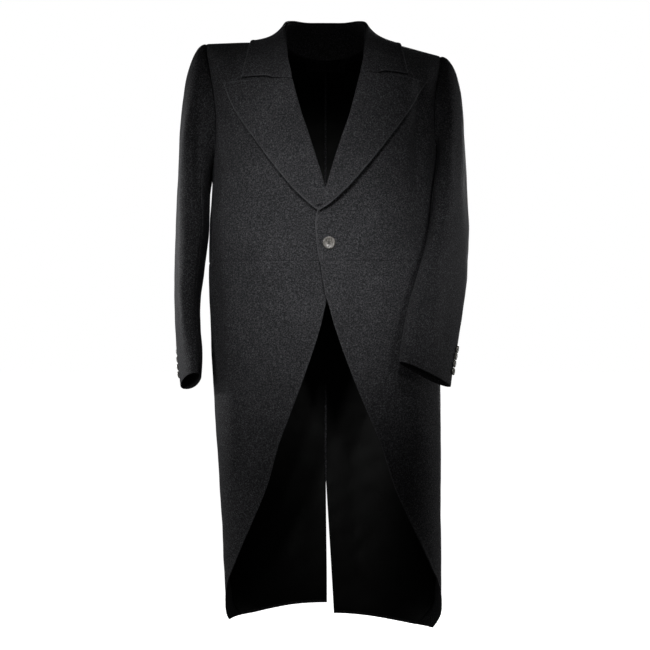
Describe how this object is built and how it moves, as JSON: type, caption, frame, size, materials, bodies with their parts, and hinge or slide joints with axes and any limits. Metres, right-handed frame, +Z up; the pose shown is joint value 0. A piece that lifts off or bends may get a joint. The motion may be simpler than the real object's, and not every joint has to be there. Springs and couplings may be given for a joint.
{
  "type": "morning coat",
  "caption": "Charcoal wool morning coat in its worn form, with wide peak lapels, a cutaway front closed by a waist button, and long vented tails; neck, cuffs and hem open.",
  "frame": {"origin": "on the centre line, at the level of the shoulder seams where the wearer's shoulders carry the coat", "axes": "+Z up along the wearer, -Y out of the coat's front, +X to the wearer's left"},
  "size_m": [0.5238, 0.3176, 1.1007],
  "materials": {
    "wool": "matt woven",
    "lapel_wool": "matt woven",
    "lining": "satin",
    "horn": "polished"
  },
  "bodies": {
    "root": {"forepart_right": "wool", "side_body_right": "wool", "back_right": "wool", "skirt_right": "wool", "top_sleeve_right": "wool", "under_sleeve_right": "wool", "lapel_right": "lapel_wool", "tail_lining_right": "lining", "back_lining_right": "lining", "back_button_right": "horn", "cuff_button_right_1": "horn", "cuff_button_right_2": "horn", "cuff_button_right_3": "horn", "cuff_button_right_4": "horn", "forepart_left": "wool", "side_body_left": "wool", "back_left": "wool", "skirt_left": "wool", "top_sleeve_left": "wool", "under_sleeve_left": "wool", "lapel_left": "lapel_wool", "tail_lining_left": "lining", "back_lining_left": "lining", "back_button_left": "horn", "cuff_button_left_1": "horn", "cuff_button_left_2": "horn", "cuff_button_left_3": "horn", "cuff_button_left_4": "horn", "collar_fall": "lapel_wool", "collar_stand": "wool", "front_button": "horn"}
  },
  "joints": []
}
